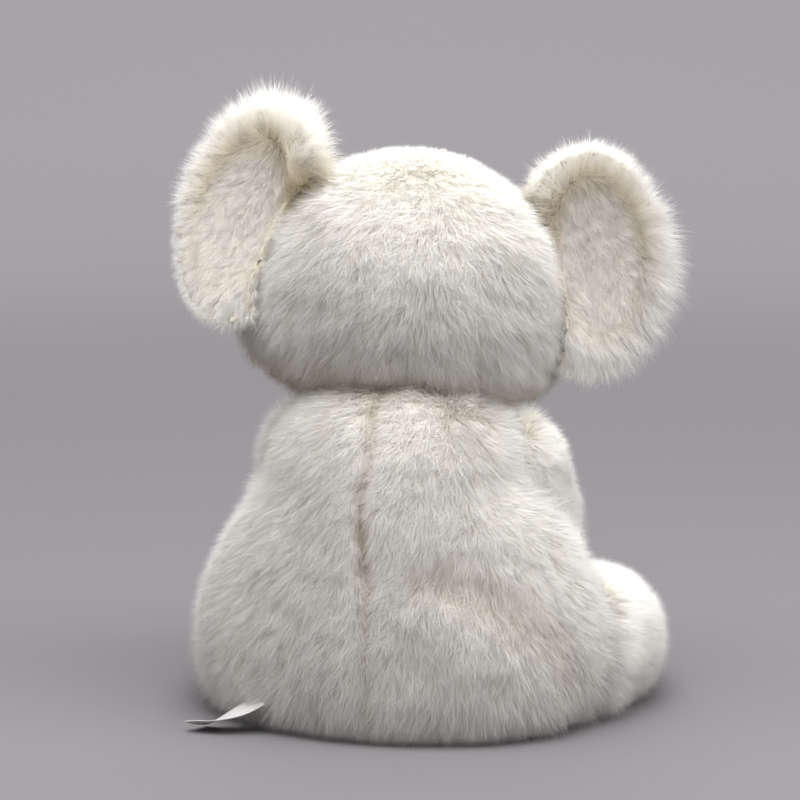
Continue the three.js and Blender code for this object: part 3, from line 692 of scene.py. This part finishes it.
bodyCoat = {  # what each zone of the back adds to the pile's length share, lift and tint
    "all": {"pile": 0.95, "lift": 0.55, "lean": 0.3},
    "seam": {"pile": -0.55, "lift": -0.3, "lean": 0.4, "tint": 0.9},
    "hem": {"pile": 0.35, "lift": 0.15},
    "limbs": {"pile": 0.6, "lift": 0.1, "comb": 1.6},
    # hollows and neck: painted shade, tan in the hollows and in the crease under the head
    "hollows": {"tint": 0.16},
    "neck": {"tint": 0.5},
    "seat": {"pile": 0.35},
}


def dressBody():
    skin, zones = skins["body"], bodyCoat
    place = points(skin)
    away = seamOffset(place)
    x, y, z = place[:, 0], place[:, 1], place[:, 2]
    behind = smoothStep(-0.005, 0.02, y)
    nearSeam = bell(away + 0.012, 0.022) * behind
    lean = zones["all"]["lean"] * smoothStep(-0.08, -0.03, x)
    lean += zones["seam"]["lean"] * nearSeam * smoothStep(0.04, 0.09, z)
    comb = np.stack((lean, np.zeros_like(x), -np.ones_like(x)), 1)
    crown = smoothStep(0.128, 0.140, z)[:, None]
    comb = comb * (1 - crown) + place * np.array([1, 1, 0]) * crown * 20
    over = np.zeros(len(x))
    for limb in limbs:
        toLimb, gap = leadTo(skinTrees[limb], place)
        close = smoothStep(0.020, 0.004, gap)
        comb += toLimb * (zones["limbs"]["comb"] * close)[:, None]
        over = np.maximum(over, close)
    atSeam = bell(away, 0.0016) * behind * (0.35 + 0.65 * smoothStep(0.04, 0.07, z))
    hem = smoothStep(0.030, 0.014, z) * smoothStep(0.002, 0.006, z) * behind
    hollowShade = smoothStep(0.4 * mm, 2.6 * mm, sinkDepth("body", place)) * behind
    pile = zones["all"]["pile"] + zones["seam"]["pile"] * atSeam
    pile = pile * (1 - zones["seat"]["pile"] * smoothStep(0.006, 0.001, z))
    pile = pile + zones["limbs"]["pile"] * over + zones["hem"]["pile"] * hem
    lift = zones["all"]["lift"] + zones["seam"]["lift"] * atSeam
    lift = lift + zones["hem"]["lift"] * hem + zones["limbs"]["lift"] * over
    # painted shade: tan in the hollows and at the neck under the head; the seam line is tinted too
    tint = zones["seam"]["tint"] * atSeam + zones["hollows"]["tint"] * hollowShade
    tint = np.clip(tint + zones["neck"]["tint"] * smoothStep(0.130, 0.143, z), 0, 1)
    coats["body"] = dress("body", comb, pile, lift, tint)


headCoat = {  # what each zone of the head adds to the pile's length share and lift
    "all": {"pile": 0.95, "lift": 0.52},
    "cheeks": {"pile": 1.1, "lift": 0.35},
    "crown": {"pile": -0.2, "lift": -0.22},
    "neighbours": {"pile": 0.35, "comb": 0.9},
    "locks": {"pile": 1.1, "lift": 0.55, "cover": 0.8},
    "parts": [  # face parts, the bare rim round them in mm, and how far off the pile is full
        (("eye_left", "eye_right"), 0.8, 7), (("nose",), 0.6, 9), (("mouth_stitch",), 0.5, 3),
    ],
}


def outAndDown(x, out, down):  # to each side and down, in the head's own directions
    return fromHead(np.stack((np.sign(x) * out, np.zeros_like(x), -down * np.ones_like(x)), 1))


def dressHead():
    skin, zones = skins["head"], headCoat
    place = points(skin)
    local = inHead(place)
    x, y, z = local.T
    away = unit(local - np.array([0, -0.062, -0.004]))
    hang = unit(np.stack((x * 5, np.zeros_like(x), -np.ones_like(x)), 1))
    behind = smoothStep(-0.012, 0.026, y)[:, None]
    comb = fromHead(away * (1 - behind) + hang * behind)
    under = smoothStep(-0.030, -0.046, z)
    cheek = smoothStep(0.020, 0.038, np.abs(x)) * smoothStep(0.0, -0.022, z)
    crown = smoothStep(0.026, 0.042, z)
    pile = zones["all"]["pile"] + zones["cheeks"]["pile"] * cheek + zones["crown"]["pile"] * crown
    lift = zones["all"]["lift"] + zones["cheeks"]["lift"] * cheek + zones["crown"]["lift"] * crown
    comb += outAndDown(x, 0.8, 1.2) * cheek[:, None]
    for ear in ("ear_left", "ear_right", "body"):
        toNeighbour, gap = leadTo(skinTrees[ear], place)
        close = smoothStep(0.014, 0.003, gap)
        comb += toNeighbour * (zones["neighbours"]["comb"] * close)[:, None]
        pile += zones["neighbours"]["pile"] * close
    # painted shade: the underside of the head is tinted tan
    tint = 0.45 * under
    coat = dress("head", comb, pile, lift, tint)
    for names, bare, short in zones["parts"]:
        for name in names:
            gap = distancesTo(treeOf(nodes[name].data), place) / mm - 1.6
            coat["cover"] *= smoothStep(bare, bare + 0.8, gap)
            coat["pile"] = np.minimum(coat["pile"], 0.22 + 0.7 * smoothStep(0.5, short, gap))
    muzzle = skinMask("head", "muzzle_panel")
    coat["pile"] *= 1 - 0.5 * smoothed(skin, muzzle, 6)
    coats["head"] = coat
    jaw = smoothStep(0.022, 0.036, np.abs(x)) * smoothStep(-0.012, -0.024, z)
    jaw = jaw * smoothStep(-0.046, -0.038, z)
    coats["head_locks"] = {
        **coat,
        "comb": tangent(outAndDown(x, 0.9, 1.0), coat["outward"]),
        "pile": np.full(len(x), zones["locks"]["pile"]),
        "lift": np.full(len(x), zones["locks"]["lift"]),
        "cover": coat["cover"] * jaw * zones["locks"]["cover"],
    }


def skinMask(body, panel):
    place = points(skins[body])
    gaps = np.array([distancesTo(treeOf(nodes[name].data), place) for name in panels[body]])
    return (gaps.argmin(0) == panels[body].index(panel)).astype(float)


# Where each ear's pile is longest and shortest, as ways from its middle, and by how much
earPile = {
    "left": {"longest": (-0.9, -0.3, 0.4), "most": 1.8, "shortest": (0.6, 0.2, -0.8), "least": 0.6},
    "right": {"longest": (-0.9, 0, -0.2), "most": 1.5, "shortest": (1, 0, -0.5), "least": 0.85},
}


def dressEar(side):
    body = f"ear_{side}"
    skin = skins[body]
    place = points(skin)
    middle = place.mean(0)
    spread = place - middle
    _, _, axes = np.linalg.svd(spread, full_matrices=False)
    back = axes[2] if axes[2] @ fromHead(np.array([0, 1.0, 0])) > 0 else -axes[2]
    u, v, w = spread @ axes[0], spread @ axes[1], spread @ back
    ratio = np.sqrt((u / np.abs(u).max()) ** 2 + (v / np.abs(v).max()) ** 2)
    radial = unit(spread - w[:, None] * back)
    toHead = np.array(headPlace.translation) - middle
    inward = unit(toHead - (toHead @ back) * back)
    out = normals(skin)
    rootward = radial @ inward
    facing = smoothStep(0.25, 0.6, out @ back)  # 1 on the back of the ear
    rim = smoothStep(0.45, 0.9, (out * radial).sum(1)) * (1 - smoothStep(0.5, 0.9, rootward))
    recess = facing * (1 - smoothStep(0.64, 0.80, ratio))
    ring = facing * (1 - recess)
    root = smoothStep(0.55, 0.9, rootward) * smoothStep(0.55, 0.85, ratio)
    down = np.array([0, 0, -1.0])
    front = (1 - facing) * (1 - rim)
    apart = radial * smoothStep(0.05, 0.45, ratio)[:, None]
    comb = recess[:, None] * (0.3 * radial + 0.7 * down - 0.3 * inward)
    comb += ring[:, None] * (0.9 * radial + 0.3 * down)
    comb += front[:, None] * (apart + 0.6 * down) + rim[:, None] * (1.2 * back + 0.3 * down)
    longest, shortest = earPile[side]["longest"], earPile[side]["shortest"]
    toward = smoothStep(0.1, 0.95, radial @ unit(np.array(longest)))
    against = smoothStep(0.1, 0.95, radial @ unit(np.array(shortest)))
    trim = 1 + (earPile[side]["most"] - 1) * toward + (earPile[side]["least"] - 1) * against
    pile = 0.55 * recess + trim * (1.05 * ring + (1 - facing) * 0.9)
    pile = pile * (1 - 0.3 * root)
    lift = 0.3 * recess + (0.7 * ring + (1 - facing) * (0.36 + 0.2 * rim)) * np.clip(trim, 0.6, 1.15)
    # painted shade: a tan band under the rim at the top of the recess, and the crease where the ear meets
    # the head; the recess's light tint is partly the short pile's own tan, partly painted shade
    shade = bell(ratio - 0.70, 0.09) * facing * (0.3 + 0.7 * smoothStep(-0.2, 0.6, radial[:, 2]))
    tint = np.clip(0.1 * recess + 0.75 * root + 0.42 * shade, 0, 1)
    coats[body] = dress(body, comb, pile, lift, tint)
    edge = smoothStep(0.1, 0.6, (out * radial).sum(1)) * (1 - smoothStep(0.4, 0.85, rootward))
    coats[body + "_locks"] = {
        **coats[body],
        "comb": tangent(radial + 0.25 * down + 0.3 * back, coats[body]["outward"]),
        "pile": 0.7 + 0.75 * toward,
        "lift": np.full(len(place), 0.75),
        "cover": coats[body]["cover"] * edge * (0.15 + 0.85 * toward) * (1 - against),
    }


limbCoat = {
    "all": {"pile": 0.95, "lift": 0.62},
    "close": {"pile": 0.5, "lift": 0.14, "comb": 0.7},
    "shoulder": {"pile": 0.25},
    "sole": {"pile": 0.68},
}


def dressLimb(body):
    skin = skins[body]
    place = points(skin)
    sign = 1 if body.endswith("left") else -1
    comb = np.tile(np.array([sign * 0.25, -0.45, -0.85]), (len(place), 1))
    toBody, gap = leadTo(skinTrees["body"], place)
    close = smoothStep(0.014, 0.002, gap)
    comb += toBody * (limbCoat["close"]["comb"] * close)[:, None]
    pile = limbCoat["all"]["pile"] + limbCoat["close"]["pile"] * close
    lift = limbCoat["all"]["lift"] + limbCoat["close"]["lift"] * close
    tint = np.zeros(len(place))
    if body.startswith("arm"):
        pile = pile - limbCoat["shoulder"]["pile"] * smoothStep(0.075, 0.1, place[:, 2])
    else:
        sole = smoothed(skin, skinMask(body, body + "_sole"), 2)
        pile = pile * (1 - limbCoat["sole"]["pile"] * sole)
        tint = sole
        high = smoothStep(0.02, 0.06, place[:, 2])[:, None]
        comb += np.array([0, -0.05, 0.25]) - np.array([0, 0, 0.4]) * high
    coats[body] = dress(body, comb, pile, lift, tint)


print("coats")
dressBody()
dressHead()
for side in sides:
    dressEar(side)
for limb in limbs:
    dressLimb(limb)


def faceCentres(mesh):
    flat = np.empty(len(mesh.polygons) * 3)
    mesh.polygons.foreach_get("center", flat)
    return flat.reshape(-1, 3)


def panelFaces(body):  # which panel each face of the skin belongs to
    centres = faceCentres(skins[body])
    gaps = np.array([distancesTo(treeOf(nodes[name].data), centres) for name in panels[body]])
    return gaps.argmin(0)


def partOf(skin, chosen, coat, name):
    faces = [skin.polygons[i].vertices[:] for i in np.nonzero(chosen)[0]]
    used = np.unique(np.concatenate([np.array(face) for face in faces]))
    fresh = {old: i for i, old in enumerate(used)}
    mesh = bpy.data.meshes.new(name)
    mesh.from_pydata(points(skin)[used], [], [[fresh[v] for v in face] for face in faces])
    for key, values in coat.items():
        storeValues(mesh, key, values[used])
    return mesh


print("fur")
strand = strandBlade(1)
quality = "full"
strandCounts = {
    "full": {"density": 9.4e6, "width": 0.00020, "locks": 2.2e6},
    "quick": {"density": 2.2e6, "width": 0.00040, "locks": 0.5e6},
}[quality]
strandShapes = {
    "body": {"Length": 0.0088},
    "head": {"Length": 0.0086},
    "ear": {"Length": 0.0090, "Stray Angle": 0.4, "Lock Pull": 0.1, "Lock Size": 0.006},
    "arm": {"Length": 0.0086},
    "leg": {"Length": 0.0086},
}
total = 0
seed = 1
for body, skin in skins.items():
    owners = panelFaces(body)
    parts = {panel: owners == i for i, panel in enumerate(panels[body])}
    if body == "body":
        onLeft = faceCentres(skin)[:, 0] > 0
        belly = parts.pop("belly_panel")
        parts.update({"belly_panel_left": belly & onLeft, "belly_panel_right": belly & ~onLeft})
    for panel, chosen in parts.items():
        emitter = partOf(skin, chosen, coats[body], panel + "Emitter")
        settings = {
            "Density": strandCounts["density"], "Width": strandCounts["width"],
            "Seed": seed, "Strand": strand, "Finish": creamFur,
        }
        settings.update(strandShapes[body.split("_")[0]])
        fur = addObject("fur_" + panel, growFur("fur_" + panel, emitter, settings))
        seed += 1
        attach(fur, body)
        total += len(fur.data.polygons)
        print(panel, len(fur.data.polygons))
longStrand = strandBlade(3)
lockShape = {  # pointed locks at the ears' rims and the cheeks
    "Length": 0.011, "Width": 0.00018, "Uneven Length": 0.35, "Stray Angle": 0.22,
    "Tuft Size": 0.0048, "Tuft Pull": 0.85, "Lock Pull": 0.1, "Sag": 0.16,
}
for body in ("ear_left", "ear_right", "head"):
    chosen = np.ones(len(skins[body].polygons), bool)
    emitter = partOf(skins[body], chosen, coats[body + "_locks"], body + "LocksEmitter")
    settings = {
        **lockShape, "Density": strandCounts["locks"],
        "Seed": seed, "Strand": longStrand, "Finish": creamFur,
    }
    locks = addObject(f"locks_{body}", growFur(f"locks_{body}", emitter, settings))
    seed += 1
    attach(locks, body)
    total += 2 * len(locks.data.polygons)
    print("locks", body, len(locks.data.polygons))
print("strand faces", total)
bpy.data.objects.remove(strand)
bpy.data.objects.remove(longStrand)

print("cloth and filling")
inner = {  # voxel, how far the form is drawn in, and how far under the skin it stays
    "wad": (0.0034, 0.6 * mm, 1.4 * mm),
    "cloth": (0.0024, 1.2 * mm, 0.8 * mm),
    "earCloth": (0.0024, 1.2 * mm, 1.2 * mm),
}
for body in skins:
    for name in panels[body] + cores.get(body, []):
        filling = name in cores.get(body, [])
        title = ("wad_" if filling else "cloth_") + name
        voxel, drawn, under = inner["wad" if filling else "earCloth" if body.startswith("ear") else "cloth"]
        mesh = roundedForm(title, [name], voxel, 3)
        setPoints(mesh, points(mesh) - normals(mesh) * drawn)
        heldInside(mesh, skinTrees[body], under)
        mesh.materials.clear()
        mesh.materials.append(loftyFibre if filling else groundCloth)
        mesh.shade_smooth()
        piece = addObject(title, mesh)
        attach(piece, body)
        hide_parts(name)


for name, body, finish in (("pellet_bag", "body", pelletCloth), ("neck_filling", "neck", loftyFibre)):
    mesh = roundedForm("wad_" + name, [name], 0.0025, 4)
    place, out = points(mesh), normals(mesh)
    lumps = np.sin(place @ np.array([900, 300, 500])) * np.sin(place @ np.array([-350, 800, 420]))
    setPoints(mesh, place + out * ((0.3 * lumps - 0.5) * mm)[:, None])
    mesh.materials.clear()
    mesh.materials.append(finish)
    mesh.shade_smooth()
    piece = addObject("wad_" + name, mesh)
    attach(piece, body)
    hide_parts(name)

# Hard parts: merged copies of their CAD solids, rounded where the real ones are polished
hardParts = {
    "eye_left": (0.00035, 10, None, "eye_plastic"), "eye_right": (0.00035, 10, None, "eye_plastic"),
    "nose": (0.0006, 16, nosePlastic, "nose_plastic"),
    "eye_washer_left": (0.0004, 2, washerPlastic, "washer_plastic"),
    "eye_washer_right": (0.0004, 2, washerPlastic, "washer_plastic"),
    "nose_washer": (0.0004, 2, washerPlastic, "washer_plastic"),
    "mouth_stitch": (0.0003, 2, darkThread, "dark_thread"),
}
for name, (voxel, rounds, finish, slot) in hardParts.items():
    mesh = roundedForm("smooth_" + name, [name], voxel, rounds)
    if finish is None:
        corners = points(nodes[name].data)
        finish = eyeFinish("gloss_" + name, tuple(float(c) for c in corners[corners[:, 1].argmin()]))
    mesh.materials.clear()
    mesh.materials.append(finish)
    mesh.shade_smooth()
    piece = addObject("smooth_" + name, mesh)
    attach(piece, "head")
    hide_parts(name)
    print(mesh.name, len(mesh.polygons))


# Care label: a bare satin ribbon that twists from its seam down to the floor
label = {
    "line": [(41.5, 49.5, 13.0), (45.6, 52.0, 10.2), (49.7, 53.8, 8.3), (53.7, 55.0, 6.7), (57.4, 55.6, 5.4),
             (60.4, 55.7, 4.4), (62.8, 55.5, 3.8), (64.6, 55.2, 3.3), (66.0, 54.8, 2.9), (67.2, 54.3, 2.5)],
    "turn": [112, 109, 104, 96, 88, 81, 76, 73, 71, 70],  # degrees round the line, from facing the camera
    "width": 12, "thick": 0.35, "rows": 40, "columns": 9,
}


def buildLabel():
    stops = np.array(label["line"]) * mm
    share = np.linspace(0, len(stops) - 1, label["rows"])
    line = np.stack([np.interp(share, range(len(stops)), stops[:, i]) for i in range(3)], 1)
    for _ in range(6):
        line[1:-1] = (line[:-2] + 2 * line[1:-1] + line[2:]) / 4
    turn = np.radians(np.interp(share, range(len(stops)), label["turn"]))[:, None]
    along = unit(np.gradient(line, axis=0))
    seen = np.tile(np.array(towards(camera["azimuth"], camera["elevation"])), (len(line), 1))
    across = unit(np.cross(along, seen))
    toward = np.cross(across, along)
    wide = across * np.cos(turn) + toward * np.sin(turn)
    face = np.cross(wide, along)
    steps = np.linspace(-1, 1, label["columns"])
    verts, faces, around = [], [], []
    for layer in (1, -1):
        for row in range(label["rows"]):
            for step in steps:
                cup = 0.5 * (1 - step * step) * mm
                spot = line[row] + wide[row] * step * label["width"] / 2 * mm
                spot = spot + face[row] * (cup + layer * label["thick"] / 2 * mm)
                spot[2] = max(spot[2], (0.45 + 0.2 * layer) * mm)
                verts.append(spot)
                half = 0.02 if layer > 0 else 0.52  # the map's left half holds one face
                around.append(((step + 1) / 2 * 0.46 + half, 0.02 + 0.96 * row / (label["rows"] - 1)))
    columns, size = label["columns"], label["rows"] * label["columns"]

    def at(layer, row, column):
        return layer * size + row * columns + column

    for row in range(label["rows"] - 1):
        for column in range(columns - 1):
            quad = [at(0, row, column), at(0, row, column + 1)]
            quad += [at(0, row + 1, column + 1), at(0, row + 1, column)]
            faces.append(quad[::-1])
            faces.append([v + size for v in quad])
        for column in (0, columns - 1):
            quad = [at(0, row, column), at(0, row + 1, column)]
            quad += [at(1, row + 1, column), at(1, row, column)]
            faces.append(quad if column else quad[::-1])
    for row in (0, label["rows"] - 1):
        for column in range(columns - 1):
            quad = [at(0, row, column), at(0, row, column + 1)]
            quad += [at(1, row, column + 1), at(1, row, column)]
            faces.append(quad if row == 0 else quad[::-1])
    mesh = bpy.data.meshes.new("label_ribbon")
    mesh.from_pydata(verts, [], faces)
    layer = mesh.uv_layers.new(name="OFBake")
    corner = [loop.vertex_index for loop in mesh.loops]
    layer.data.foreach_set("uv", np.array(around, np.float32)[corner].ravel())
    shell = bmesh.new()
    shell.from_mesh(mesh)
    bmesh.ops.recalc_face_normals(shell, faces=shell.faces)
    shell.to_mesh(mesh)
    shell.free()
    mesh.shade_smooth()
    mesh.materials.append(satinRibbon)
    ribbon = addObject("label_ribbon", mesh)
    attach(ribbon, "body")
    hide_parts("care_label")


buildLabel()


# Floor, backdrop and studio light
studio = {
    "halfWidth": 3.0, "front": -2.5, "bend": 0.8, "back": 2.4, "height": 3.0, "steps": 12,
    # near: the paper's colour round the toy, a painted shadow; glow: painted light from the far paper
    "near": (0.145, 0.137, 0.145, 1), "far": (0.15, 0.142, 0.152, 1), "glow": 0.30,
}
lamps = [  # name, azimuth, elevation, distance, size, power
    ("topBox", 200, 76, 1.2, 1.1, 24),
    ("frontBox", 198, 50, 1.3, 1.2, 8),
    ("leftBox", 198 - 76, 42, 1.2, 0.9, 7),
    ("rightBox", 198 + 66, 40, 1.2, 0.9, 12),
    ("rimBox", 18, 60, 1.2, 0.8, 9),
]


# painted shadow: the paper is darker round the toy; painted light: far from the toy it glows
def paperFinish():  # the paper is darker round the toy and glows a little far from it
    material = bpy.data.materials.new("backdropPaper")
    material.use_nodes = True
    tree = material.node_tree
    add, number, vector, blend = treeTools(tree)
    shader = tree.nodes["Principled BSDF"]
    reach = vector("LENGTH", add("ShaderNodeTexCoord", (), 3))
    far = add("ShaderNodeMapRange", {0: reach, 1: 0.10, 2: 2.2}, interpolation_type="SMOOTHSTEP")
    tree.links.new(blend(far, studio["near"], studio["far"]), shader.inputs["Base Color"])
    shader.inputs["Roughness"].default_value = 0.9
    shader.inputs["Specular IOR Level"].default_value = 0.1
    shader.inputs["Emission Color"].default_value = (1, 0.965, 1.02, 1)
    tree.links.new(number("MULTIPLY", far, studio["glow"]), shader.inputs["Emission Strength"])
    return material


def buildStage():
    turn = math.radians(camera["azimuth"])
    ahead = Vector((-math.sin(turn), math.cos(turn), 0))
    side = Vector((math.cos(turn), math.sin(turn), 0))
    flatEnd = studio["back"] - studio["bend"]
    line = [(studio["front"], 0.0), (flatEnd, 0.0)]
    for i in range(1, studio["steps"] + 1):
        angle = math.pi / 2 * i / studio["steps"]
        line.append((flatEnd + studio["bend"] * math.sin(angle), studio["bend"] * (1 - math.cos(angle))))
    line.append((studio["back"], studio["height"]))
    verts = []
    for along, height in line:
        for edge in (-studio["halfWidth"], studio["halfWidth"]):
            verts.append(ahead * along + side * edge + Vector((0, 0, height)))
    faces = [(2 * i, 2 * i + 1, 2 * i + 3, 2 * i + 2) for i in range(len(line) - 1)]
    mesh = bpy.data.meshes.new("backdrop")
    mesh.from_pydata(verts, [], faces)
    mesh.shade_smooth()
    mesh.materials.append(paperFinish())
    addObject("backdrop", mesh)


def lightStage():
    for name, azimuth, elevation, distance, size, power in lamps:
        data = bpy.data.lights.new(name, "AREA")
        data.shape = "SQUARE"
        data.size = size
        data.energy = power
        away = towards(azimuth, elevation)
        aimed(name, data, Vector((0, 0, 0.12)) + away * distance, -away)
    world = bpy.data.worlds.new("studioWorld")
    world.use_nodes = True
    world.node_tree.nodes["Background"].inputs[0].default_value = (0.95, 0.96, 1, 1)
    world.node_tree.nodes["Background"].inputs[1].default_value = 0.17
    bpy.context.scene.world = world
    bpy.context.scene.view_settings.view_transform = "Standard"
    bpy.context.scene.cycles.diffuse_bounces = 8


buildStage()
lightStage()
